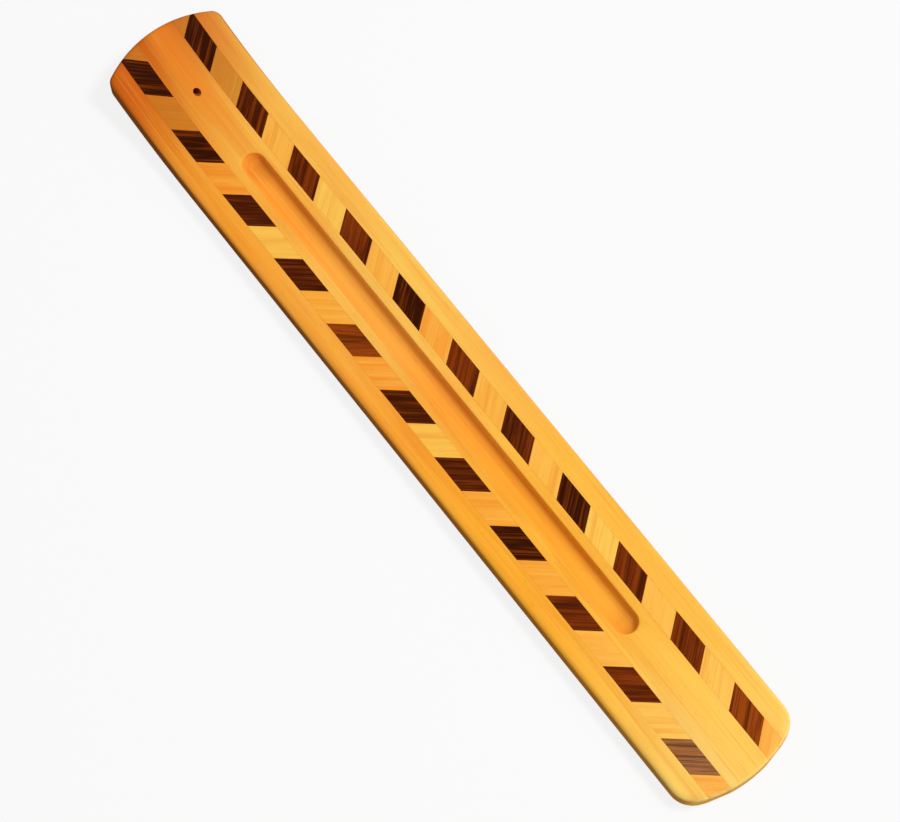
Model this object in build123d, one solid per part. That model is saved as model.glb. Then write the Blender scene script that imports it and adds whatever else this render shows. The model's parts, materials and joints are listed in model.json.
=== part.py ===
from build123d import *
import os
from math import asin, cos, degrees, radians, sqrt, tan

# Incense stick holder, in millimetres: a long wooden board with one upturned end, a leaning hole for
# the stick, an ash groove, and two bands of slanted inlay tiles, dark and light by turns.
# X runs along the board from the upturned tip (-X) to the flat end (+X), Z is up, and the origin is
# in the middle of the underside. Right is the +Y side, as seen from the flat end.

# Board
board_length = 254.0
board_width = 36.0
board_thickness = 6.0
end_arc_radius = 36.0  # both ends, seen from above
tip_corner_radius = 3.0  # where the tip's arc meets a side, seen from above
flat_corner_radius = 7.0  # the same at the flat end
edge_round = 1.0  # soft edge round the top and the underside
least_side_wall = 1.0  # upright wall left between the two soft edges

# Upturned tip: the board keeps its thickness and bends up along an arc
upturn_length = 40.0
upturn_rise = 6.5  # lift of the underside at the tip

# Ash groove, cut with a round-nosed cutter
groove_from_tip = 42.5
groove_length = 165.0
groove_width = 6.6
groove_floor = 2.8  # wood left under the groove

# Stick hole, drilled leaning over the groove and stopped inside the wood
hole_from_tip = 20.2
hole_diameter = 2.0
hole_lean = 45.0  # degrees from upright
hole_floor = 1.2  # wood left under the hole

# Inlay bands, let into channels and sanded flush with the board
band_width = 5.9
band_depth = 2.0
band_from_groove = 2.65  # strip of board between groove and band
dark_tile_length = 11.5
light_tile_length = 11.65
tile_angle = 50.5  # degrees between a tile's cut ends and the length of the board
first_dark_from_tip = 9.6  # to the middle of the first dark tile
end_wood = 1.5  # least light wood between the last dark tile and the flat end

# How far a cutting shape runs past the wood
overrun = 2.0

# Worked out from the sizes above
half_length = board_length / 2
half_width = board_width / 2
end_sagitta = end_arc_radius - sqrt(end_arc_radius**2 - half_width**2)
under_radius = (upturn_length**2 + upturn_rise**2) / (2 * upturn_rise)
top_radius = under_radius - board_thickness
bend_x = upturn_length - half_length
bend_angle = degrees(asin((upturn_length + overrun) / (top_radius - overrun)))
tip_height = under_radius - sqrt(top_radius**2 - upturn_length**2)
cut_height = tip_height + overrun
soft_edge = min(edge_round, (board_thickness - least_side_wall) / 2)

half_groove = groove_width / 2
groove_depth = board_thickness - groove_floor
cove_radius = (half_groove**2 + groove_depth**2) / (2 * groove_depth)
groove_radius = cove_radius if groove_depth < half_groove else half_groove
groove_run = groove_length - groove_width
groove_middle = groove_from_tip + groove_length / 2 - half_length

band_centre = half_groove + band_from_groove + band_width / 2
tile_pitch = dark_tile_length + light_tile_length
tile_skew = 1 / tan(radians(tile_angle))
cut_reach = band_width / 2 + overrun
cut_skew = cut_reach * tile_skew
past_ends = half_length + cut_skew + overrun
last_dark_room = dark_tile_length / 2 + band_width / 2 * tile_skew + end_wood
dark_count = int((board_length - first_dark_from_tip - last_dark_room) // tile_pitch) + 1


def bent_layer(lower, upper, width):
    """A layer of the board between two heights over its underside, bent up with it at the tip."""
    lower_run = Line((half_length + overrun, lower), (bend_x, lower))
    lower_bend = JernArc(lower_run @ 1, lower_run % 1, under_radius - lower, -bend_angle)
    upper_run = Line((half_length + overrun, upper), (bend_x, upper))
    upper_bend = JernArc(upper_run @ 1, upper_run % 1, under_radius - upper, -bend_angle)
    flat_end = Line(lower_run @ 0, upper_run @ 0)
    tip_end = Line(lower_bend @ 1, upper_bend @ 1)
    outline = make_face([lower_run, lower_bend, tip_end, upper_bend, upper_run, flat_end])
    return extrude(Plane.XZ * outline, width / 2, both=True)


def plan_outline():
    """The board from above: straight sides, shallow arcs at the ends and round corners."""
    side_end = half_length - end_sagitta
    flat_arc = ThreePointArc((side_end, -half_width), (half_length, 0), (side_end, half_width))
    right_side = Line((side_end, half_width), (-side_end, half_width))
    tip_arc = ThreePointArc((-side_end, half_width), (-half_length, 0), (-side_end, -half_width))
    left_side = Line((-side_end, -half_width), (side_end, -half_width))
    outline = make_face([flat_arc, right_side, tip_arc, left_side])
    outline = fillet(outline.vertices().sort_by(Axis.X)[:2], tip_corner_radius)
    return fillet(outline.vertices().sort_by(Axis.X)[-2:], flat_corner_radius)


def board_blank():
    """The board before it is inlaid: bent at the tip, cut to its outline, soft at the edges."""
    blank = bent_layer(0, board_thickness, board_width + 2 * overrun) & extrude(plan_outline(), cut_height)
    outline_edges = blank.edges().filter_by(Axis.Y, reverse=True).filter_by(Axis.Z, reverse=True)
    return fillet(outline_edges, soft_edge)


def ash_groove():
    """The space that the round-nosed cutter clears: a cove with rounded ends."""
    nose_path = Pos(groove_middle, 0, groove_floor + groove_radius)
    cove = extrude(Plane.YZ * Circle(groove_radius), groove_run / 2, both=True)
    cove += Pos(-groove_run / 2, 0, 0) * Sphere(groove_radius)
    cove += Pos(groove_run / 2, 0, 0) * Sphere(groove_radius)
    cove += extrude(SlotCenterToCenter(groove_run, 2 * groove_radius), cut_height)
    return nose_path * cove


def stick_hole():
    """A drilled hole that leans from the upturned end over the groove."""
    slope = asin(max(0, upturn_length - hole_from_tip) / top_radius)
    mouth_height = under_radius - top_radius * cos(slope)
    lean_in_wood = radians(hole_lean) - slope
    depth = (board_thickness - hole_floor) / cos(lean_in_wood) - hole_diameter / 2 * tan(lean_in_wood)
    mouth = Pos(hole_from_tip - half_length, 0, mouth_height) * Rot(0, hole_lean, 0)
    drill = extrude(Circle(hole_diameter / 2), depth + cut_height)
    return mouth * Pos(0, 0, -depth) * drill


def inlay_tile(band, start, end, side):
    """The slice of a band between two slanted cuts, placed along the middle of the band."""
    inner = side * (band_centre - cut_reach)
    outer = side * (band_centre + cut_reach)
    inner_edge = [(start + cut_skew, inner), (end + cut_skew, inner)]
    outer_edge = [(end - cut_skew, outer), (start - cut_skew, outer)]
    slice_outline = make_face(Polyline(*inner_edge, *outer_edge, close=True))
    return band & extrude(slice_outline, cut_height)


def inlay_band(band, side, side_name):
    """All tiles of one band, by name: light wood fills the ends and the places between dark tiles."""
    first_cut = first_dark_from_tip - dark_tile_length / 2 - half_length
    light_start = -past_ends
    tiles = {}
    for index in range(dark_count):
        dark_start = first_cut + index * tile_pitch
        dark_end = dark_start + dark_tile_length
        number = f"{side_name}_{index + 1:02d}"
        tiles[f"light_tile_{number}"] = inlay_tile(band, light_start, dark_start, side)
        tiles[f"dark_tile_{number}"] = inlay_tile(band, dark_start, dark_end, side)
        light_start = dark_end
    last_number = f"{side_name}_{dark_count + 1:02d}"
    tiles[f"light_tile_{last_number}"] = inlay_tile(band, light_start, past_ends, side)
    return tiles


blank = board_blank()
channel = bent_layer(board_thickness - band_depth, board_thickness + overrun, band_width)
right_channel = Pos(0, band_centre, 0) * channel
left_channel = Pos(0, -band_centre, 0) * channel

pieces = {"board": blank - right_channel - left_channel - ash_groove() - stick_hole()}
pieces.update(inlay_band(blank & right_channel, 1, "right"))
pieces.update(inlay_band(blank & left_channel, -1, "left"))

os.makedirs("parts", exist_ok=True)
for name, piece in pieces.items():
    export_step(piece, f"parts/{name}.step")
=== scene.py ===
import json
from math import asin, cos, pi, radians, sin

import bpy
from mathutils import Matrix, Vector


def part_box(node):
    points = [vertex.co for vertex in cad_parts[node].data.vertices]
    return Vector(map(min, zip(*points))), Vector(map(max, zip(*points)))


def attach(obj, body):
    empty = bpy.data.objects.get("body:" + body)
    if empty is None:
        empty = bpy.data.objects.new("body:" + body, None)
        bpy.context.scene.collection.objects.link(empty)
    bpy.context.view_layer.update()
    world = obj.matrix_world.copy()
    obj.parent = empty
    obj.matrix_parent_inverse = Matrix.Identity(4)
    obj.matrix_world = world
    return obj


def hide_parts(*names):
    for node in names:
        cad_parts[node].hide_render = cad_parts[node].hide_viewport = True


bl_info = {
    "name": "Incense stick holder",
    "version": (1, 0, 0),
    "blender": (4, 5, 0),
    "location": "3D View > Sidebar > Incense holder",
    "description": "Makes an inlaid wooden incense stick holder on its packed solids",
    "category": "Add Mesh",
}

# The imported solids: every piece below takes the place of one of them
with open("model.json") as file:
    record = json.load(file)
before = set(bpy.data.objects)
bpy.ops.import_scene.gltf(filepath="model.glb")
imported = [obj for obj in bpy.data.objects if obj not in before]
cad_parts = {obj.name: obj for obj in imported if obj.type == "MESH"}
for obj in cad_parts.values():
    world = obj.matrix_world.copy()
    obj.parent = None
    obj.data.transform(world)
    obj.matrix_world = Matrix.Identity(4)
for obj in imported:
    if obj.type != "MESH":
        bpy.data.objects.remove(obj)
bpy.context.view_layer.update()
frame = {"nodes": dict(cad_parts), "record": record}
board_low, board_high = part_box("board")
flat_tile_low, flat_tile_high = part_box("dark_tile_right_05")
stick_hole = next(mount for mount in frame["record"]["mounts"] if mount["name"] == "stick_hole")
dark_count = sum(name.startswith("dark_tile_left_") for name in frame["nodes"])

MM = 0.001
SIDES = {"left": -1, "right": 1}

# Shades of the single tiles, from the upturned tip to the flat end
DARK_SHADES = {
    "left": "ebony ebony umber umber cherry umber umber ebony russet russet rose",
    "right": "ebony umber russet russet ebony russet umber ebony russet russet cherry",
}
LIGHT_SHADES = {
    "left": "tan tan amber straw honey amber straw honey honey honey honey amber",
    "right": "tan tan honey straw honey amber honey honey straw honey honey amber",
}
DARK_NAMES = ("ebony", "umber", "russet", "cherry", "rose")
LIGHT_NAMES = ("tan", "amber", "honey", "straw")

# How far a light tile differs from the board round it
LIGHT_TINTS = {"tan": 0.75, "amber": 0.5, "honey": 0.3, "straw": 0.6}


# Sizes and colours that a user may change
def number(name, description, value, **kind):
    """A number, with its kind and limits in Blender's own words."""
    return bpy.props.FloatProperty(name=name, description=description, default=value, **kind)


def length(name, description, metres):
    """A length, kept in metres."""
    return number(name, description, metres, min=0.0, precision=5, unit="LENGTH")


def angle(name, description, degrees):
    """An angle, given in degrees and kept in radians."""
    return number(name, description, radians(degrees), unit="ROTATION")


def point(name, description, metres):
    """A place, kept in metres."""
    return bpy.props.FloatVectorProperty(
        name=name, description=description, default=metres, subtype="XYZ", unit="LENGTH"
    )


def shade(name, description, red, green, blue):
    """A colour, given as display values from 0 to 255 and kept as linear light."""
    linear = [((value / 255 + 0.055) / 1.055) ** 2.4 for value in (red, green, blue)]
    return bpy.props.FloatVectorProperty(
        name=name, description=description, default=linear, min=0.0, max=1.0, size=3, subtype="COLOR"
    )


class HolderSizes(bpy.types.PropertyGroup):
    """Sizes of the holder's pieces."""

    board_length: length("Board length", "From tip to flat end", 2 * min(board_high.x, -board_low.x))
    board_width: length("Board width", "From side to side", board_high.y - board_low.y)
    board_thickness: length("Board thickness", "Of the flat part", flat_tile_high.z)
    end_arc_radius: length("End arc radius", "Of both ends, seen from above", 36 * MM)
    tip_corner_radius: length("Tip corner radius", "Where the tip meets a side, seen from above", 3 * MM)
    flat_corner_radius: length("Flat corner radius", "The same at the flat end", 7 * MM)
    edge_round: length("Edge round", "Soft edge round the top and the underside", 1.4 * MM)
    upturn_length: length("Upturn length", "Length of the bent tip, seen from above", 40 * MM)
    upturn_rise: length("Upturn rise", "Lift of the underside at the tip", 6.5 * MM)
    groove_from_tip: length("Groove from tip", "Where the ash groove starts", 42.5 * MM)
    groove_length: length("Groove length", "With both round ends", 165 * MM)
    groove_width: length("Groove width", "Across the rims", 6.6 * MM)
    groove_floor: length("Groove floor", "Wood left under the ash groove", 2.8 * MM)
    groove_rim: length("Groove rim", "Rounding that sanding left on the rim", 0.3 * MM)
    band_inner: length("Band inner edge", "From the middle line to an inlay band", flat_tile_low.y)
    band_width: length("Band width", "Of an inlay band", flat_tile_high.y - flat_tile_low.y)
    band_depth: length("Band depth", "Of the channels", flat_tile_high.z - flat_tile_low.z)
    dark_tile_length: length("Dark tile length", "Along the band", 11.5 * MM)
    light_tile_length: length("Light tile length", "Along the band", 11.65 * MM)
    first_dark_from_tip: length("First dark tile", "From the tip to its middle", 9.6 * MM)
    tile_angle: angle("Tile angle", "Between a tile's cut ends and the board's length", 50.5)
    tile_arris: length("Tile arris", "Edge broken by sanding along each joint", 0.035 * MM)
    hand_sanding: length("Hand sanding", "Depth of the shallow unevenness of the top", 0.06 * MM)


class HolderColours(bpy.types.PropertyGroup):
    """Colours of the woods, the glue and the stage."""

    # From tip to flat end the board colours are partly the wood's tone and partly painted light for the
    # light falling off along the board
    board_tip: shade("Board at the tip", "Deep orange wood", 200, 91, 15)
    board_middle: shade("Board in the middle", "Orange wood", 252, 164, 52)
    board_flat_end: shade("Board at the flat end", "Paler, yellow wood", 254, 210, 102)
    # Used for a pale streak of wood and for the painted highlight on the flat end's rim
    pale_end_and_painted_highlight: shade("Bare end", "Pale wood that sanding bared round the flat end", 255, 226, 134)
    gold: shade("Gold", "Deeper yellow wood past the middle", 255, 187, 38)
    late_wood: shade("Late wood", "Darker line of a growth ring", 232, 128, 30)
    red_heart: shade("Red heart", "Redder patches near the tip", 216, 96, 34)
    board_pore: shade("Pores", "Short dark vessels in the light woods", 150, 78, 22)
    ebony: shade("Ebony shade", "Darkest tiles", 54, 18, 3)
    umber: shade("Umber shade", "Dark brown tiles", 80, 29, 7)
    russet: shade("Russet shade", "Red-brown tiles", 112, 43, 9)
    cherry: shade("Cherry shade", "Light red-brown tiles", 152, 67, 15)
    rose: shade("Rose shade", "Palest of the dark tiles", 168, 112, 68)
    tan: shade("Tan shade", "Greyest of the light tiles", 196, 117, 34)
    amber: shade("Amber shade", "Orange wood", 250, 140, 38)
    honey: shade("Honey shade", "Yellow-orange tiles", 252, 176, 62)
    straw: shade("Straw shade", "Pale yellow tiles", 254, 206, 90)
    # Painted shade: the long sides' dark colour stands in for the side walls in shade
    painted_side_shade: shade("Side walls", "Long sides, darkened by handling", 150, 84, 32)
    # Mixed into the groove's bottom to make it deeper orange
    groove_deeper_orange: shade("Groove wood", "Wood in the groove, toned by ash", 230, 138, 24)
    glue: shade("Glue", "Line of glue in the joints", 120, 66, 24)
    # Painted shade: darkens the inside of the stick hole and the ends of the groove
    painted_recess_shade: shade("Hole wall", "Wood darkened inside the stick hole", 190, 100, 34)
    floor: shade("Floor", "Pale floor", 222, 222, 222)


class HolderStage(bpy.types.PropertyGroup):
    """Where the camera and the lamp stand and how strong the light is."""

    camera_azimuth: angle("Camera azimuth", "Round the object, from straight in front", 52.69)
    camera_elevation: angle("Camera elevation", "Above the horizon", 69.72)
    camera_distance: length("Camera distance", "To the point that it looks at", 768.7 * MM)
    look_at: point("Look at", "Point in the middle of the picture", (5.86 * MM, -0.99 * MM, 6.03 * MM))
    lens: number("Lens", "Focal length", 119.6, min=1.0, unit="CAMERA")
    lamp_place: point("Lamp place", "Middle of the soft lamp, high on the right", (0.32, 0.55, 1.08))
    lamp_size: length("Lamp size", "Width of the soft lamp", 0.3)
    lamp_power: number("Lamp power", "Of the soft lamp", 12.5, min=0.0, unit="POWER")
    room_light: number("Room light", "Even light from all round", 0.3, min=0.0)
    floor_white: number("Floor white", "Share of plain white in the floor", 0.85, subtype="FACTOR")


# Node trees
SHARP_EDGE = radians(38)  # faces that meet at more than this keep a sharp edge


class Wire:
    """A socket of a node tree that joins in plain arithmetic and feeds further nodes."""

    def __init__(self, tree, socket=None):
        self.tree = tree
        self.socket = socket

    def node(self, kind, settings=None, sockets=None, output=0):
        """Add a node, set it up, then fill or link its sockets; hand back one of its outputs."""
        made = self.tree.nodes.new(kind)
        for name, value in (settings or {}).items():
            if name == "stops":
                fill_ramp(made.color_ramp, value)
            else:
                setattr(made, name, value)
        for key, value in (sockets or {}).items():
            if isinstance(value, Wire):
                self.tree.links.new(value.socket, made.inputs[key])
            else:
                made.inputs[key].default_value = value
        return Wire(self.tree, made.outputs[output] if made.outputs else None)

    def maths(self, operation, *values):
        return self.node("ShaderNodeMath", {"operation": operation}, dict(enumerate(values)))

    def __add__(self, other):
        return self.maths("ADD", self, other)

    def __radd__(self, other):
        return self.maths("ADD", other, self)

    def __sub__(self, other):
        return self.maths("SUBTRACT", self, other)

    def __rsub__(self, other):
        return self.maths("SUBTRACT", other, self)

    def __mul__(self, other):
        return self.maths("MULTIPLY", self, other)

    def __rmul__(self, other):
        return self.maths("MULTIPLY", other, self)

    def __truediv__(self, other):
        return self.maths("DIVIDE", self, other)

    def __rtruediv__(self, other):
        return self.maths("DIVIDE", other, self)

    def __gt__(self, other):
        return self.maths("GREATER_THAN", self, other)

    def __lt__(self, other):
        return self.maths("LESS_THAN", self, other)

    def __abs__(self):
        return self.maths("ABSOLUTE", self)

    def least(self, other):
        return self.maths("MINIMUM", self, other)

    def most(self, other):
        return self.maths("MAXIMUM", self, other)

    def squared(self):
        return self.maths("MULTIPLY", self, self)

    def root(self):
        return self.maths("SQRT", self.most(0.0))

    def xyz(self):
        """The three numbers of a vector."""
        made = self.node("ShaderNodeSeparateXYZ", {}, {0: self}).socket.node
        return [Wire(self.tree, output) for output in made.outputs]

    def vector(self, x, y, z):
        return self.node("ShaderNodeCombineXYZ", {}, {0: x, 1: y, 2: z})


def fill_ramp(ramp, stops):
    """Put colours on a colour ramp, each at its place from 0 to 1."""
    while len(ramp.elements) < len(stops):
        ramp.elements.new(1.0)
    for element, (place, colour) in zip(ramp.elements, stops):
        element.position = place
        element.color = (*colour, 1.0)


def label(key):
    """A key as the words that a user sees."""
    return key.replace("_", " ").capitalize()


def tree_with_inputs(name, inputs):
    """A Geometry Nodes tree, and a wire from each of its named inputs."""
    tree = bpy.data.node_groups.new(name, "GeometryNodeTree")
    tree.is_modifier = True
    tree.interface.new_socket("Geometry", in_out="OUTPUT", socket_type="NodeSocketGeometry")
    for key, kind in inputs.items():
        tree.interface.new_socket(label(key), in_out="INPUT", socket_type="NodeSocket" + kind)
    group_input = tree.nodes.new("NodeGroupInput")
    return tree, {key: Wire(tree, group_input.outputs[label(key)]) for key in inputs}


def close_tree(geometry, finish):
    """End a tree: smooth faces, real geometry, its finish."""
    smooth = geometry.node("GeometryNodeSetShadeSmooth", {"domain": "FACE"}, {"Geometry": geometry})
    real = geometry.node("GeometryNodeRealizeInstances", {}, {"Geometry": smooth})
    done = geometry.node("GeometryNodeSetMaterial", {}, {"Geometry": real, "Material": finish})
    geometry.node("NodeGroupOutput", {}, {0: done})


def keep(geometry, name, value):
    """Store a number with each point, for a material to read."""
    settings = {"data_type": "FLOAT", "domain": "POINT"}
    sockets = {"Geometry": geometry, "Name": name, "Value": value}
    return geometry.node("GeometryNodeStoreNamedAttribute", settings, sockets)


def run_tree(name, tree, values, mesh=None):
    """Make an object with a Geometry Nodes tree and keep the result as a plain mesh."""
    blank = mesh or bpy.data.meshes.new(name)
    piece = bpy.data.objects.new(name, blank)
    bpy.context.scene.collection.objects.link(piece)
    modifier = piece.modifiers.new(tree.name, "NODES")
    modifier.node_group = tree
    places = {item.name: item.identifier for item in tree.interface.items_tree if item.in_out == "INPUT"}
    for key, value in values.items():
        modifier[places[label(key)]] = value
    depsgraph = bpy.context.evaluated_depsgraph_get()
    plain = bpy.data.meshes.new_from_object(
        piece.evaluated_get(depsgraph), preserve_all_data_layers=True, depsgraph=depsgraph
    )
    piece.modifiers.clear()
    piece.data = plain
    plain.name = name
    bpy.data.meshes.remove(blank)
    plain.set_sharp_from_angle(angle=SHARP_EDGE)
    return piece


# The board's form, as fields of a tree; the lists name the sizes that a tree takes
SHAPE = (
    "board_length board_width board_thickness end_arc_radius tip_corner_radius flat_corner_radius "
    "edge_round upturn_length upturn_rise hand_sanding"
).split()
GROOVE = "groove_from_tip groove_length groove_width groove_floor groove_rim".split()
BAND = "band_inner band_width band_depth tile_angle tile_arris".split()

# Waves of the sanded top in a metre of wood
WAVES_ALONG = 24.0
WAVES_ACROSS = 60.0


class BoardForm:
    """The rule that the board and its tiles follow: outline, soft edges, sanded top and upturned tip."""

    def __init__(self, size):
        self.size = size
        self.half_length = size["board_length"] / 2
        self.half_width = size["board_width"] / 2
        self.arc_x = self.half_length - size["end_arc_radius"]

    def corner(self, flat_end):
        """Radius of an end's corners and place of their middle, for the tip, 0, or the flat end, 1."""
        tip_radius = self.size["tip_corner_radius"]
        radius = tip_radius + (self.size["flat_corner_radius"] - tip_radius) * flat_end
        y = self.half_width - radius
        x = self.arc_x + ((self.size["end_arc_radius"] - radius).squared() - y.squared()).root()
        return radius, x, y

    def reach(self, y, flat_end):
        """How far the board reaches from its middle at a distance y from the middle line."""
        radius, corner_x, corner_y = self.corner(flat_end)
        arc_radius = self.size["end_arc_radius"]
        away = abs(y)
        on_arc = self.arc_x + (arc_radius.squared() - away.squared()).root()
        past_corner = (away - corner_y).most(0.0)
        on_corner = corner_x + (radius.squared() - past_corner.squared()).root()
        past_arc = away > corner_y * arc_radius / (arc_radius - radius)
        return past_arc * on_corner + (1 - past_arc) * on_arc

    def inside(self, x, y):
        """How far a point lies inside the outline."""
        radius, corner_x, corner_y = self.corner(x > 0.0)
        along = abs(x)
        away = abs(y)
        past_arc = (along - self.arc_x).most(0.0)
        from_arc = self.size["end_arc_radius"] - (past_arc.squared() + away.squared()).root()
        from_side = self.half_width - away
        from_corner = radius - ((along - corner_x).squared() + (away - corner_y).squared()).root()
        over_ray = away * (corner_x - self.arc_x) > corner_y * (along - self.arc_x)
        in_corner = over_ray * (along > corner_x)
        return in_corner * from_corner + (1 - in_corner) * from_arc.least(from_side)

    def soft_edge(self, x, y):
        """How far the soft edge has dropped below the face of the board."""
        radius = self.size["edge_round"]
        short = radius - self.inside(x, y).most(0.0).least(radius)
        return radius - (radius.squared() - short.squared()).root()

    def sanded(self, x, y):
        """How much hand sanding took off the top."""
        place = x.vector(x * WAVES_ALONG, y * WAVES_ACROSS, 0.0)
        wave = x.node("ShaderNodeTexNoise", {}, {"Vector": place, "Scale": 1.0, "Detail": 1.0})
        return self.size["hand_sanding"] * wave

    def bent(self, x, y, z):
        """Where a point of the straight board ends up once its edges are soft and its tip is bent up."""
        middle = self.size["board_thickness"] / 2
        soft = middle + (z - middle) * (1 - self.soft_edge(x, y) / middle)
        run = self.size["upturn_length"]
        rise = self.size["upturn_rise"]
        radius = (run.squared() + rise.squared()) / (2 * rise)
        past_bend = (run - self.half_length - x).most(0.0)
        height = radius - ((radius - soft).squared() - past_bend.squared()).root()
        return x.vector(x, y, height)


# How fine the meshes are: steps round each curve, and the gaps between points elsewhere
WALL_STEPS = 14
RIM_STEPS = 4
EDGE_STEPS = 6
HOLE_FACETS = 64
INNER_ROW_GAP = 0.7 * MM
OUTER_ROW_GAP = 1.2 * MM
TIP_STATION_GAP = 1 * MM
GROOVE_STATION_GAP = 2 * MM
END_STATION_GAP = 1.5 * MM
TILE_POINTS = {"Vertices X": 25, "Vertices Y": 9, "Vertices Z": 3}  # along, across, and in height

# Points nearer to each other than this are joined
BOARD_WELD = 0.004 * MM
TILE_WELD = 0.002 * MM

# Stretches of the board over which its stations are moved to fit its curved ends and the groove's
END_STRETCH = 15 * MM
GROOVE_STRETCH = 16 * MM
GROOVE_FADE = 11.5 * MM


def quarter_round(radius, steps):
    """Distances from an edge at which a quarter round is crossed at even turns, edge first."""
    return [radius * (1 - cos(pi / 2 * step / steps)) for step in range(steps + 1)]


def evenly(start, end, spacing):
    """Places after start, up to and with end, about the spacing apart."""
    count = max(1, round((end - start) / spacing))
    return [start + (end - start) * step / count for step in range(1, count + 1)]


def cove_radius(size):
    """Radius of the groove's round section."""
    depth = size.board_thickness - size.groove_floor
    return ((size.groove_width / 2) ** 2 + depth**2) / (2 * depth)


def cove_places(size):
    """Distances from the groove's middle line to its rim, at even turns round the cove."""
    radius = cove_radius(size)
    rim_turn = asin(size.groove_width / 2 / radius)
    return [radius * sin(rim_turn * step / WALL_STEPS) for step in range(WALL_STEPS + 1)]


def half_rows(size):
    """Lines along the board from its middle to a side: distance from the middle, depth under the top."""
    half_groove = size.groove_width / 2
    inner = size.band_inner
    outer = inner + size.band_width
    arris = size.tile_arris
    side = size.board_width / 2
    rows = [(y, 0.0) for y in cove_places(size)]
    rows += [(half_groove + away, 0.0) for away in quarter_round(size.groove_rim, RIM_STEPS)[1:]]
    rows += [(y, 0.0) for y in evenly(half_groove + size.groove_rim, inner - arris, INNER_ROW_GAP)]
    rows += [(inner, arris), (inner, size.band_depth), (outer, size.band_depth), (outer, arris)]
    rows += [(outer + arris, 0.0)]
    rows += [(y, 0.0) for y in evenly(outer + arris, side - size.edge_round, OUTER_ROW_GAP)]
    rows += [(side - away, 0.0) for away in reversed(quarter_round(size.edge_round, EDGE_STEPS)[:-1])]
    return rows


def stations(size):
    """Places along the board, from the tip to the flat end, close together where its form changes."""
    half = size.board_length / 2
    half_groove = size.groove_width / 2
    start = size.groove_from_tip - half
    end = start + size.groove_length
    edge = quarter_round(size.edge_round, EDGE_STEPS)
    rim = quarter_round(size.groove_rim, RIM_STEPS)
    cove = cove_places(size)
    places = [away - half for away in edge]
    places += evenly(places[-1], start - size.groove_rim, TIP_STATION_GAP)
    places += [start - away for away in reversed(rim[:-1])]
    places += [start + half_groove - y for y in reversed(cove[:-1])]
    places += evenly(places[-1], end - half_groove, GROOVE_STATION_GAP)
    places += [end - half_groove + y for y in cove[1:]]
    places += [end + away for away in rim[1:]]
    places += evenly(places[-1], half - size.edge_round, END_STATION_GAP)
    places += [half - away for away in reversed(edge[:-1])]
    return places


def channelled_strip(size):
    """The straight, square-ended strip with its two channels, before it is shaped."""
    one_side = half_rows(size)
    rows = [(-y, depth) for y, depth in reversed(one_side[1:])] + one_side
    under = sorted({y for y, depth in rows})
    along = stations(size)
    points = [(x, y, size.board_thickness - depth) for x in along for y, depth in rows]
    points += [(x, y, 0.0) for x in along for y in under]

    def top(station, row):
        return station * len(rows) + row

    def low(station, row):
        return len(along) * len(rows) + station * len(under) + row

    # Top, underside and long sides
    last_row = len(rows) - 1
    last_low = len(under) - 1
    faces = []
    for i in range(len(along) - 1):
        for k in range(len(rows) - 1):
            faces.append((top(i, k), top(i + 1, k), top(i + 1, k + 1), top(i, k + 1)))
        for k in range(len(under) - 1):
            faces.append((low(i, k), low(i, k + 1), low(i + 1, k + 1), low(i + 1, k)))
        faces.append((low(i, 0), low(i + 1, 0), top(i + 1, 0), top(i, 0)))
        faces.append((top(i, last_row), top(i + 1, last_row), low(i + 1, last_low), low(i, last_low)))

    # Both ends, in upright strips; a strip beside a channel also takes in the points of the channel's wall
    stacks = [[k for k, row in enumerate(rows) if row[0] == y] for y in under]
    depths = [depth for y, depth in rows]
    for k in range(len(under) - 1):
        near, far = stacks[k], stacks[k + 1]
        rising = sorted((r for r in far if depths[r] >= depths[far[0]]), key=lambda r: -depths[r])
        falling = sorted((r for r in near if depths[r] >= depths[near[-1]]), key=lambda r: depths[r])
        for i, turn in ((len(along) - 1, 1), (0, -1)):
            end_face = [low(i, k), low(i, k + 1)] + [top(i, r) for r in rising + falling]
            faces.append(tuple(end_face[::turn]))

    # The channels' walls and floors carry glue, but not where they come out at the ends
    mesh = bpy.data.meshes.new("channelled_strip")
    mesh.from_pydata(points, [], faces)
    joint = mesh.attributes.new("joint", "FLOAT", "POINT")
    for i in range(1, len(along) - 1):
        for k, depth in enumerate(depths):
            joint.data[top(i, k)].value = float(depth > 0)
    return mesh


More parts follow.
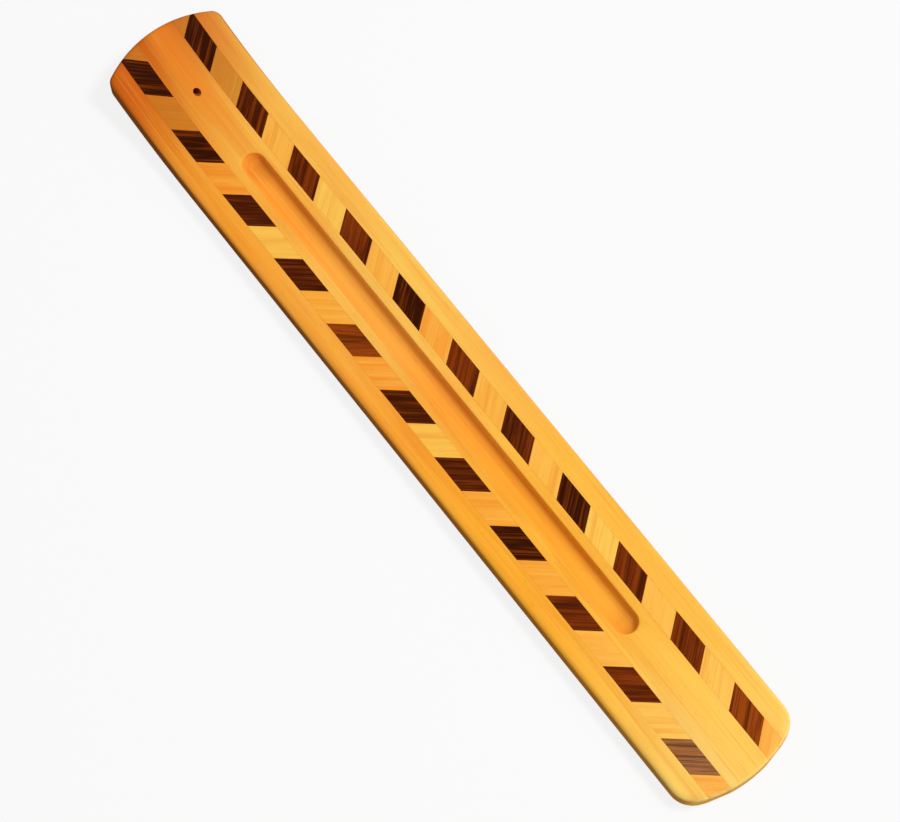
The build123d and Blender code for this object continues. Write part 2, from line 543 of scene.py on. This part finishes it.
def board_tree():
    """Shapes the straight strip: round ends, ash groove, soft edges, upturned tip, stick hole."""
    inputs = {"strip": "Geometry"}
    inputs.update({key: "Float" for key in SHAPE + GROOVE})
    inputs.update({"hole_bottom": "Vector", "hole_lean": "Float", "hole_radius": "Float"})
    inputs["finish"] = "Material"
    tree, size = tree_with_inputs("Shape the board", inputs)
    form = BoardForm(size)
    place = Wire(tree).node("GeometryNodeInputPosition")
    x, y, z = place.xyz()

    # Square ends to arcs: only the last stretch of the strip moves
    straight = form.half_length - END_STRETCH
    along = abs(x)
    past_straight = (along - straight).most(0.0)
    drawn_in = past_straight * (form.reach(y, x > 0.0) - straight) / (form.half_length - straight)
    x = x.maths("SIGN", x) * (along.least(straight) + drawn_in)

    # The stations at the groove's ends bend round with its rim
    half_groove = size["groove_width"] / 2
    half_run = size["groove_length"] / 2 - half_groove
    middle = size["groove_from_tip"] + size["groove_length"] / 2 - form.half_length
    from_middle = x - middle
    to_rim = abs(abs(from_middle) - half_run - half_groove)
    share = ((GROOVE_STRETCH - to_rim) / GROOVE_FADE).most(0.0).least(1.0)
    short = half_groove - (half_groove.squared() - y.squared()).root()
    x = x - x.maths("SIGN", from_middle) * share * short

    # Ash groove: a cove with a sanded rim
    depth = size["board_thickness"] - size["groove_floor"]
    radius = (half_groove.squared() + depth.squared()) / (2 * depth)
    past_run = (abs(x - middle) - half_run).most(0.0)
    off_line = (past_run.squared() + y.squared()).root()
    cove = (radius.squared() - off_line.squared()).root() - (radius - depth)
    rim = size["groove_rim"]
    to_flat = rim - (off_line - half_groove).most(0.0).least(rim)
    rim_drop = rim - (rim.squared() - to_flat.squared()).root()
    upper = z > size["board_thickness"] / 2
    z = z - upper * (cove.most(rim_drop) + form.sanded(x, y))

    marked = keep(size["strip"], "edge", form.soft_edge(x, y) / size["edge_round"])
    sockets = {"Geometry": marked, "Position": form.bent(x, y, z)}
    shaped = place.node("GeometryNodeSetPosition", {}, sockets)

    # Stick hole; the drill is turned by half a facet, so that no corner of it meets the middle line
    drill_length = size["board_length"] / 8
    drill_sockets = {"Vertices": HOLE_FACETS, "Radius": size["hole_radius"], "Depth": drill_length}
    drill = place.node("GeometryNodeMeshCylinder", {}, drill_sockets)
    raised_sockets = {
        "Geometry": drill,
        "Translation": place.vector(0.0, 0.0, drill_length / 2),
        "Rotation": (0.0, 0.0, pi / HOLE_FACETS),
    }
    raised = place.node("GeometryNodeTransform", {}, raised_sockets)
    lean = place.vector(0.0, size["hole_lean"], 0.0)
    set_sockets = {"Geometry": raised, "Translation": size["hole_bottom"], "Rotation": lean}
    drill_set = place.node("GeometryNodeTransform", {}, set_sockets)
    bored_settings = {"operation": "DIFFERENCE", "solver": "EXACT"}
    bored = place.node("GeometryNodeMeshBoolean", bored_settings, {"Mesh 1": shaped, "Mesh 2": drill_set})
    joined = place.node("GeometryNodeMergeByDistance", {}, {"Geometry": bored, "Distance": BOARD_WELD})
    close_tree(joined, size["finish"])
    return tree


def tile_tree():
    """One inlay tile: a slice of a band between two slanted cuts, flush with the board and bent with it."""
    inputs = {key: "Float" for key in SHAPE + BAND}
    inputs.update({key: "Float" for key in ("side", "start", "end", "shade", "tint", "seed")})
    inputs["finish"] = "Material"
    tree, size = tree_with_inputs("Inlay tile", inputs)
    form = BoardForm(size)
    lattice = Wire(tree).node("GeometryNodeMeshCube", {}, {"Size": (1.0, 1.0, 1.0), **TILE_POINTS})
    u, v, w = Wire(tree).node("GeometryNodeInputPosition").xyz()

    # The lattice's three layers: the top face, the foot of the broken edge and the bottom
    top = w > 0.25
    bottom = w < -0.25

    # Across the band, the top drawn in by the broken edge
    arris = size["tile_arris"]
    half_band = size["band_width"] / 2
    off_centre = v * 2 * (half_band - top * arris)
    y = size["side"] * (size["band_inner"] + half_band) + off_centre

    # Along the band, from cut to cut or to the end of the board
    skew = 1 / u.maths("TANGENT", size["tile_angle"])
    slant = skew * size["side"] * off_centre
    tip = 0 - form.reach(y, 0)
    flat_end = form.reach(y, 1)
    first_cut = size["start"] - slant
    last_cut = size["end"] - slant
    start = first_cut.most(tip) + top * arris * (first_cut > tip)
    end = last_cut.least(flat_end) - top * arris * (last_cut < flat_end)

    # The points lie closer together towards both ends of the tile
    share = 0.5 - 0.5 * u.maths("COSINE", (u + 0.5) * pi)
    x = start + share * (end.most(start) - start)
    at_outline = (share < 0.001) * (first_cut < tip) + (share > 0.999) * (last_cut > flat_end)

    z = size["board_thickness"] - (1 - top) * arris - bottom * (size["band_depth"] - arris)
    z = z - (1 - bottom) * form.sanded(x, y)
    marked = keep(lattice, "joint", (1 - top) * (1 - at_outline))
    marked = keep(marked, "edge", form.soft_edge(x, y) / size["edge_round"])
    marked = keep(marked, "shade", size["shade"])
    marked = keep(marked, "tint", size["tint"])
    marked = keep(marked, "seed", size["seed"])
    sockets = {"Geometry": marked, "Position": form.bent(x, y, z)}
    shaped = u.node("GeometryNodeSetPosition", {}, sockets)
    joined = u.node("GeometryNodeMergeByDistance", {}, {"Geometry": shaped, "Distance": TILE_WELD})
    close_tree(joined, size["finish"])
    return tree


# Finishes; their lengths are in millimetres
RELIEF_DEPTH = 0.03 * MM  # as Blender has it, in metres
RELIEF_STRENGTH = 0.5
LACQUER_ROUGHNESS = 0.3
RING_WIDTH = 2.7  # from one growth ring to the next
HEART_RIGHT = 9  # heart of the tree, to the right of the middle line
HEART_UNDER = 38  # and under the board
TILE_SHIFT = (61.0, 37.0, 23.0)  # how far the grain moves on from tile to tile


def start_finish(name):
    """A new material with an empty node tree."""
    finish = bpy.data.materials.new(name)
    finish.use_nodes = True
    finish.node_tree.nodes.clear()
    return finish, Wire(finish.node_tree)


def millimetres(wire):
    """Places on the piece, in millimetres."""
    place = wire.node("ShaderNodeTexCoord", output="Object")
    return wire.node("ShaderNodeVectorMath", {"operation": "SCALE"}, {"Vector": place, "Scale": 1 / MM})


def half_length(size):
    """Half the board's length: places along the board are given as shares of it."""
    return size.board_length / 2 / MM


def half_width(size):
    """Half the board's width: places across the board are given as shares of it."""
    return size.board_width / 2 / MM


def straightened(wire, size):
    """The same places as they were before the tip was bent up, so that the grain follows the bend."""
    x, y, z = millimetres(wire).xyz()
    run = size.upturn_length / MM
    rise = size.upturn_rise / MM
    radius = (run**2 + rise**2) / (2 * rise)
    past_bend = (run - half_length(size) - x).most(0.0)
    return wire.vector(x, y, radius - ((radius - z).squared() + past_bend.squared()).root())


def attribute(wire, name):
    """A number that a tree has kept with the points."""
    return wire.node("ShaderNodeAttribute", {"attribute_name": name}, output="Fac")


def streaks(place, along, across, detail=2.0):
    """Noise drawn out along the grain: streaks about so long and so wide, in millimetres."""
    stretch = (1 / along, 1 / across, 1 / across)
    drawn = place.node("ShaderNodeVectorMath", {"operation": "MULTIPLY"}, {0: place, 1: stretch})
    return place.node("ShaderNodeTexNoise", {}, {"Vector": drawn, "Scale": 1.0, "Detail": detail})


def ease(value, low, high):
    """0 below low, 1 above high, and a soft step between them."""
    sockets = {"Value": value, "From Min": low, "From Max": high}
    return value.node("ShaderNodeMapRange", {"interpolation_type": "SMOOTHSTEP"}, sockets)


def mix(share, first, second):
    """The first colour with a share of the second; the node's colours are sockets 6 and 7, output 2."""
    colours = [(*c, 1.0) if not isinstance(c, Wire) else c for c in (first, second)]
    sockets = {0: share, 6: colours[0], 7: colours[1]}
    return share.node("ShaderNodeMix", {"data_type": "RGBA"}, sockets, output=2)


def close_finish(colour, roughness, height, lacquer):
    """End a wood finish: matt wood with fine relief, whose only sheen is its thin satin lacquer."""
    bump_sockets = {"Strength": RELIEF_STRENGTH, "Distance": RELIEF_DEPTH, "Height": height}
    relief = height.node("ShaderNodeBump", {}, bump_sockets)
    sockets = {
        "Base Color": colour,
        "Roughness": roughness,
        "Normal": relief,
        "Specular IOR Level": 0.0,
        "Coat Weight": lacquer,
        "Coat Roughness": LACQUER_ROUGHNESS,
    }
    shader = colour.node("ShaderNodeBsdfPrincipled", {}, sockets)
    colour.node("ShaderNodeOutputMaterial", {}, {"Surface": shader})


def wood_tone_and_painted_falloff(place, drift, colours, size):
    """The light wood before its grain: deep orange at the tip, paler to the flat end and to the right; the
    darker tip and paler flat end are partly the wood's tone and partly painted light for the light falling
    off along the board.
    """
    x, y, z = place.xyz()
    half = half_length(size)
    side = half_width(size)
    drawn = x + (drift - 0.5) * 36
    to_right = ease(y, -1.1 * side, 1.1 * side)
    paler = ease(drawn + y * 0.5, 0.4 * half, 0.95 * half) * (1 - to_right * 0.5)
    colour = mix(paler, colours.board_middle, colours.board_flat_end)
    colour = mix(to_right * 0.5, colour, colours.board_flat_end)
    return mix(ease(drawn + y * 0.2, -1.06 * half, -0.65 * half), colours.board_tip, colour)


def near_tip(place, size):
    """1 at the tip, fading to 0 where the flat part of the board begins."""
    x, y, z = place.xyz()
    half = half_length(size)
    return 1 - ease(x, -half, -0.55 * half)


def worn_edge_and_rim_highlight(place, edge, rubbed, colour, colours, size):
    """Rubbed edges are browner, but round the flat end a pale painted highlight lies on the rounded rim,
    over a warm wall.
    """
    x, y, z = place.xyz()
    half = half_length(size)
    at_flat_end = ease(x + abs(y) * 0.2, 0.88 * half, 0.96 * half)
    wall = ease(edge, 0.6, 1.0)
    rim = ease(edge, 0.02, 0.4) * (1 - wall)
    colour = mix(rubbed * (1 - at_flat_end) * 0.35, colour, colours.tan)
    colour = mix(at_flat_end * wall * 0.5, colour, colours.honey)
    # Painted highlight: the pale rim stands in for the lamp lighting the flat end's rounded edge
    return mix(at_flat_end * rim * 0.75, colour, colours.pale_end_and_painted_highlight)


def in_groove(place, size):
    """1 at the bottom of the ash groove, 0 at its rim and elsewhere; and 1 near its two ends."""
    x, y, z = place.xyz()
    half_run = size.groove_length / 2 / MM
    half_groove = size.groove_width / 2 / MM
    middle = size.groove_from_tip / MM - half_length(size) + half_run
    floor = size.groove_floor / MM
    top = size.board_thickness / MM
    off_middle = abs(x - middle)
    along = 1 - ease(off_middle, half_run - 0.2, half_run + 0.2)
    across = 1 - ease(abs(y), half_groove - 0.1, half_groove + 0.3)
    bottom = along * across * ease(z, 0.4 * floor, 0.6 * floor) * (1 - ease(z, floor, top))
    return bottom, ease(off_middle, half_run - 11, half_run - 3)


def in_stick_hole(wire):
    """1 on the wall and the bottom of the stick hole, 0 elsewhere."""
    middle = [value / MM for value in stick_hole["pos_m"]]
    axis = tuple(stick_hole["axis"])

    def measured(operation, *vectors, output="Vector"):
        return wire.node("ShaderNodeVectorMath", {"operation": operation}, dict(enumerate(vectors)), output)

    from_middle = measured("SUBTRACT", millimetres(wire), middle)
    along = measured("DOT_PRODUCT", from_middle, axis, output="Value")
    far = measured("LENGTH", from_middle, output="Value")
    off_axis = (far.squared() - along.squared()).root()
    radius = stick_hole["dims"]["r_mm"]
    bottom = -stick_hole["dims"]["length_mm"] / 2
    by_wall = 1 - ease(off_axis, radius * 1.01, radius * 1.12)
    return by_wall * ease(along, bottom - 0.4, bottom - 0.1)


def board_finish(colours, size):
    """Orange-yellow wood with fine straight grain along the board."""
    finish, wire = start_finish("board_wood")
    place = straightened(wire, size)
    x, y, z = place.xyz()
    drift = streaks(place, 85, 24)
    patch = streaks(place, 52, 7)
    fibre = streaks(place, 38, 0.6, 4.0)
    hair = streaks(place, 12, 0.17)
    vessel = streaks(place, 3.2, 0.2)

    # Growth rings round a heart that lies under the board
    from_heart = y - HEART_RIGHT + (drift - 0.5) * 16
    ring_radius = (from_heart.squared() + (z + HEART_UNDER).squared()).root()
    ring_place = ring_radius / RING_WIDTH + (patch - 0.5) * 0.7
    ring = ring_place.maths("FRACT", ring_place)
    late = ease(ring, 0.45, 0.92) * (1 - ease(ring, 0.93, 1.0))

    # Redder patches, most of all at the tip, and paler ones to the right
    half = half_length(size)
    side = half_width(size)
    colour = wood_tone_and_painted_falloff(place, drift, colours, size)
    tip = near_tip(place, size)
    colour = mix(ease(1 - patch, 0.48, 0.66) * (0.16 + tip * 0.34), colour, colours.red_heart)
    to_right = ease(y, -side, 0.4 * side)
    colour = mix(ease(patch, 0.48, 0.66) * to_right * (0.52 - tip * 0.45), colour, colours.straw)

    # Before the middle of the board the wood by the groove is paler; past it, all of it is deeper in colour
    before_middle = 1 - ease(abs(x + 0.25 * half), 0.08 * half, 0.28 * half)
    past_middle = 1 - ease(abs(x - 0.48 * half), 0.18 * half, 0.5 * half)
    near_groove = 1 - ease(abs(y), 0.3 * side, 0.8 * side) * 0.7
    colour = mix(before_middle * near_groove * 0.42, colour, colours.board_flat_end)
    colour = mix(past_middle * 0.35, colour, colours.gold)

    # Streaks near the middle line: an orange one round the stick hole, a pale one at the flat end
    wander = (drift - 0.5) * 6
    orange = 1 - ease(abs(y - 1.0 + wander), 1.0, 5.5)
    pale = 1 - ease(abs(y + 4.5 + wander), 0.8, 4.0)
    colour = mix((1 - ease(x, -0.9 * half, -0.6 * half)) * orange * 0.5, colour, colours.amber)
    colour = mix(ease(x, 0.6 * half, 0.95 * half) * pale * 0.5, colour, colours.pale_end_and_painted_highlight)

    # The groove's bottom is toned deeper orange, and painted shade darkens it near both ends
    bottom, near_end = in_groove(place, size)
    colour = mix(bottom * 0.35, colour, colours.groove_deeper_orange)
    colour = mix(bottom * near_end * 0.34, colour, colours.painted_recess_shade)

    edge = attribute(wire, "edge")
    rubbed = ease(edge + (patch - 0.5) * 0.6, 0.25, 1.1)
    colour = worn_edge_and_rim_highlight(place, edge, rubbed, colour, colours, size)

    # Rings, fibres, hair lines and pores
    colour = mix(late * 0.24, colour, colours.late_wood)
    colour = mix(ease(fibre, 0.5, 0.74) * 0.32, colour, colours.late_wood)
    colour = mix(ease(1 - fibre, 0.52, 0.76) * 0.26, colour, colours.straw)
    colour = mix(ease(hair, 0.52, 0.78) * 0.22, colour, colours.late_wood)
    pore = ease(vessel, 0.68, 0.76)
    colour = mix(pore * 0.4, colour, colours.board_pore)

    # Long sides darkened with painted shade for the walls turned from the lamp, less so towards the flat
    # end; glue in the channels
    wall = ease(edge + tip * 0.25, 0.3, 0.85) * ease(abs(y), side - 3.5, side - 0.2)
    side_shade_fade = 1 - ease(x, -0.6 * half, 0.8 * half) * 0.45
    colour = mix(wall * side_shade_fade * (1 - ease(fibre, 0.45, 0.75) * 0.4), colour, colours.painted_side_shade)
    colour = mix(wall * ease(hair, 0.48, 0.7) * 0.4, colour, colours.russet)
    colour = mix(attribute(wire, "joint") * 0.4, colour, colours.glue)

    # Painted shade: the stick hole's wall and bottom are darkened
    in_hole = in_stick_hole(wire)
    colour = mix(in_hole * 0.85, colour, colours.painted_recess_shade)

    roughness = 0.44 + (hair - 0.5) * 0.25 + pore * 0.18 - rubbed * 0.06 + in_hole * 0.3
    height = fibre * 0.35 + hair * 0.35 - pore * 0.8 - late * 0.12
    close_finish(colour, roughness, height, (0.08 - 0.04 * rubbed) * (1 - wall * 0.8))
    return finish


def slanted_grain(wire, size):
    """Places on a tile, turned so that the grain runs along its cut ends and shifted from tile to tile."""
    x, y, z = straightened(wire, size).xyz()
    seed = attribute(wire, "seed")
    mirrored = wire.vector(x, abs(y), z)
    shift = wire.vector(*(seed * step for step in TILE_SHIFT))
    sockets = {"Vector": mirrored, "Location": shift, "Rotation": (0.0, 0.0, size.tile_angle)}
    return wire.node("ShaderNodeMapping", {}, sockets)


def shade_ramp(wire, colours, names):
    """The tile's own shade, from its number between 0 and 1."""
    stops = [(place / (len(names) - 1), getattr(colours, name)) for place, name in enumerate(names)]
    return wire.node("ShaderNodeValToRGB", {"stops": stops}, {"Fac": attribute(wire, "shade")})


def dark_finish(colours, size):
    """Dark red-brown wood, its grain along the slanted cuts."""
    finish, wire = start_finish("dark_inlay_wood")
    grain = slanted_grain(wire, size)
    band = streaks(grain, 30, 1.3)
    fibre = streaks(grain, 14, 0.34, 4.0)
    vessel = streaks(grain, 2.4, 0.16)
    colour = shade_ramp(wire, colours, DARK_NAMES)
    colour = mix(ease(band, 0.46, 0.68) * 0.7, colour, colours.ebony)
    colour = mix(ease(1 - band, 0.5, 0.7) * 0.55, colour, colours.cherry)
    colour = mix(ease(fibre, 0.5, 0.7) * 0.6, colour, colours.ebony)
    colour = mix(ease(1 - fibre, 0.52, 0.72) * 0.42, colour, colours.cherry)
    pore = ease(vessel, 0.64, 0.72)
    colour = mix(pore * 0.6, colour, colours.ebony)
    colour = mix(attribute(wire, "joint") * 0.6, colour, colours.ebony)
    roughness = 0.42 + (fibre - 0.5) * 0.2 + pore * 0.2
    height = fibre * 0.5 - pore
    close_finish(colour, roughness, height, 0.02 - 0.01 * pore)
    return finish


def light_finish(colours, size):
    """Pale wood between the dark tiles, its grain along the slanted cuts."""
    finish, wire = start_finish("light_inlay_wood")
    place = straightened(wire, size)
    grain = slanted_grain(wire, size)
    drift = streaks(place, 85, 24)
    band = streaks(grain, 36, 1.7)
    fibre = streaks(grain, 18, 0.42, 4.0)
    vessel = streaks(grain, 2.8, 0.18)
    colour = wood_tone_and_painted_falloff(place, drift, colours, size)
    colour = mix(attribute(wire, "tint"), colour, shade_ramp(wire, colours, LIGHT_NAMES))
    edge = attribute(wire, "edge")
    rubbed = ease(edge, 0.25, 1.1)
    colour = worn_edge_and_rim_highlight(place, edge, rubbed, colour, colours, size)
    colour = mix(ease(band, 0.48, 0.72) * 0.34, colour, colours.late_wood)
    colour = mix(ease(1 - band, 0.5, 0.72) * (0.32 - near_tip(place, size) * 0.28), colour, colours.straw)
    colour = mix(ease(fibre, 0.5, 0.72) * 0.34, colour, colours.late_wood)
    pore = ease(vessel, 0.67, 0.75)
    colour = mix(pore * 0.36, colour, colours.board_pore)
    colour = mix(attribute(wire, "joint") * 0.4, colour, colours.glue)
    roughness = 0.44 + (fibre - 0.5) * 0.22 + pore * 0.18
    height = fibre * 0.5 - pore * 0.8
    close_finish(colour, roughness, height, 0.08 - 0.04 * rubbed)
    return finish


# Making the pieces
def chosen(size, keys):
    """The named sizes, as values for a tree."""
    return {key: getattr(size, key) for key in keys}


def tile_cuts(size, kind):
    """Start and end of each tile of a kind along its band, from the tip to the flat end."""
    first = size.first_dark_from_tip - size.dark_tile_length / 2 - size.board_length / 2
    pitch = size.dark_tile_length + size.light_tile_length
    dark = [(first + i * pitch, first + i * pitch + size.dark_tile_length) for i in range(dark_count)]
    if kind == "dark":
        return dark

    # The light tiles fill the places between; the end ones run on to the board's outline
    starts = [-size.board_length] + [end for start, end in dark]
    ends = [start for start, end in dark] + [size.board_length]
    return list(zip(starts, ends))


def make_tiles(context, kind, finish, shades, names):
    """All tiles of one wood, each of them in the place of its solid."""
    size = context.scene.holder_sizes
    tree = bpy.data.node_groups.get("Inlay tile") or tile_tree()
    for side_name, side in SIDES.items():
        words = shades[side_name].split()
        for index, (start, end) in enumerate(tile_cuts(size, kind)):
            number = f"{side_name}_{index + 1:02d}"
            values = chosen(size, SHAPE + BAND)
            values.update({"side": float(side), "start": start, "end": end, "finish": finish})
            values["shade"] = names.index(words[index]) / (len(names) - 1)
            values["tint"] = LIGHT_TINTS.get(words[index], 1.0)
            # A number of its own for each tile, so that no two show the same grain
            values["seed"] = index + 1 + 20.0 * (side > 0) + 40.0 * (kind == "dark")
            piece = run_tree(f"{kind}_inlay_{number}", tree, values)
            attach(piece, "root")
            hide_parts(f"{kind}_tile_{number}")


class HOLDER_OT_board(bpy.types.Operator):
    """Make the board with its groove, channels and stick hole"""

    bl_idname = "holder.board"
    bl_label = "Board"

    def execute(self, context):
        size = context.scene.holder_sizes
        axis = Vector(stick_hole["axis"])
        lean = axis.angle(Vector((0.0, 0.0, 1.0)))
        middle = Vector(stick_hole["pos_m"])
        values = chosen(size, SHAPE + GROOVE)
        values["hole_radius"] = stick_hole["dims"]["r_mm"] * MM
        values["hole_lean"] = lean
        values["hole_bottom"] = middle - axis * stick_hole["dims"]["length_mm"] / 2 * MM
        values["finish"] = board_finish(context.scene.holder_colours, size)
        piece = run_tree("shaped_board", board_tree(), values, channelled_strip(size))
        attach(piece, "root")
        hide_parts("board")
        return {"FINISHED"}


class HOLDER_OT_dark_tiles(bpy.types.Operator):
    """Make the dark tiles of both bands"""

    bl_idname = "holder.dark_tiles"
    bl_label = "Dark tiles"

    def execute(self, context):
        finish = dark_finish(context.scene.holder_colours, context.scene.holder_sizes)
        make_tiles(context, "dark", finish, DARK_SHADES, DARK_NAMES)
        return {"FINISHED"}


class HOLDER_OT_light_tiles(bpy.types.Operator):
    """Make the light tiles of both bands"""

    bl_idname = "holder.light_tiles"
    bl_label = "Light tiles"

    def execute(self, context):
        finish = light_finish(context.scene.holder_colours, context.scene.holder_sizes)
        make_tiles(context, "light", finish, LIGHT_SHADES, LIGHT_NAMES)
        return {"FINISHED"}


# Stage
def seen_straight(wire):
    """1 where the camera, a reflection or a see-through surface looks straight at it."""
    made = wire.node("ShaderNodeLightPath").socket.node
    camera, glossy, through = [
        Wire(wire.tree, made.outputs[f"Is {kind} Ray"]) for kind in ("Camera", "Glossy", "Transmission")
    ]
    return camera.most(glossy).most(through)


def add_floor(scene):
    """A wide pale floor that shows nearly white and keeps a soft shadow."""
    finish, wire = start_finish("pale_floor")
    plain = wire.node("ShaderNodeBsdfDiffuse", {}, {"Color": (*scene.holder_colours.floor, 1.0)})
    white = wire.node("ShaderNodeEmission", {}, {"Color": (1.0, 1.0, 1.0, 1.0), "Strength": 1.0})
    share = seen_straight(wire) * scene.holder_stage.floor_white
    both = wire.node("ShaderNodeMixShader", {}, {0: share, 1: plain, 2: white})
    wire.node("ShaderNodeOutputMaterial", {}, {"Surface": both})
    reach = 4.0
    drop = -0.02 * MM
    corners = [(-reach, -reach, drop), (reach, -reach, drop), (reach, reach, drop), (-reach, reach, drop)]
    mesh = bpy.data.meshes.new("floor")
    mesh.from_pydata(corners, [], [(0, 1, 2, 3)])
    mesh.materials.append(finish)
    floor = bpy.data.objects.new("floor", mesh)
    scene.collection.objects.link(floor)


def add_room(scene):
    """Even white light from all round."""
    world = bpy.data.worlds.new("white_room")
    world.use_nodes = True
    world.node_tree.nodes.clear()
    wire = Wire(world.node_tree)
    seen = seen_straight(wire)
    strength = seen + (1 - seen) * scene.holder_stage.room_light
    sockets = {"Color": (1.0, 1.0, 1.0, 1.0), "Strength": strength}
    wire.node("ShaderNodeOutputWorld", {}, {"Surface": wire.node("ShaderNodeBackground", {}, sockets)})
    scene.world = world


def add_lamp(scene):
    """A soft square lamp high on the right."""
    lamp = bpy.data.lights.new("soft_lamp", "AREA")
    lamp.energy = scene.holder_stage.lamp_power
    lamp.size = scene.holder_stage.lamp_size
    holder = bpy.data.objects.new("soft_lamp", lamp)
    scene.collection.objects.link(holder)
    holder.location = scene.holder_stage.lamp_place
    to_middle = -holder.location
    holder.rotation_euler = to_middle.to_track_quat("-Z", "Y").to_euler()


def add_camera(scene):
    """The camera at the angle of the photograph."""
    stage = scene.holder_stage
    camera = bpy.data.cameras.new("camera")
    camera.lens = stage.lens
    camera.sensor_width = 36.0
    camera.sensor_fit = "HORIZONTAL"
    camera.clip_start = 0.01
    holder = bpy.data.objects.new("camera", camera)
    scene.collection.objects.link(holder)
    level = cos(stage.camera_elevation)
    back = Vector((
        sin(stage.camera_azimuth) * level,
        -cos(stage.camera_azimuth) * level,
        sin(stage.camera_elevation),
    ))
    holder.location = Vector(stage.look_at) + back * stage.camera_distance
    holder.rotation_euler = back.to_track_quat("Z", "Y").to_euler()
    scene.camera = holder


class HOLDER_OT_stage(bpy.types.Operator):
    """Set up the floor, the light and the camera"""

    bl_idname = "holder.stage"
    bl_label = "Stage"

    def execute(self, context):
        scene = context.scene
        scene.view_settings.view_transform = "Standard"
        add_floor(scene)
        add_room(scene)
        add_lamp(scene)
        add_camera(scene)
        return {"FINISHED"}


class HOLDER_PT_panel(bpy.types.Panel):
    """Sizes, colours and the steps that make the holder"""

    bl_idname = "HOLDER_PT_panel"
    bl_label = "Incense stick holder"
    bl_space_type = "VIEW_3D"
    bl_region_type = "UI"
    bl_category = "Incense holder"

    def draw(self, context):
        for step in STEPS:
            self.layout.operator(step.bl_idname)
        for group in (context.scene.holder_sizes, context.scene.holder_colours, context.scene.holder_stage):
            column = self.layout.column()
            for key in group.__annotations__:
                column.prop(group, key)


STEPS = (HOLDER_OT_board, HOLDER_OT_dark_tiles, HOLDER_OT_light_tiles, HOLDER_OT_stage)
CLASSES = (HolderSizes, HolderColours, HolderStage, *STEPS, HOLDER_PT_panel)


def register():
    for cls in CLASSES:
        bpy.utils.register_class(cls)
    bpy.types.Scene.holder_sizes = bpy.props.PointerProperty(type=HolderSizes)
    bpy.types.Scene.holder_colours = bpy.props.PointerProperty(type=HolderColours)
    bpy.types.Scene.holder_stage = bpy.props.PointerProperty(type=HolderStage)


def unregister():
    del bpy.types.Scene.holder_sizes
    del bpy.types.Scene.holder_colours
    del bpy.types.Scene.holder_stage
    for cls in reversed(CLASSES):
        bpy.utils.unregister_class(cls)


def main():
    register()
    bpy.ops.holder.board()
    bpy.ops.holder.dark_tiles()
    bpy.ops.holder.light_tiles()
    bpy.ops.holder.stage()


if __name__ == "__main__":
    main()
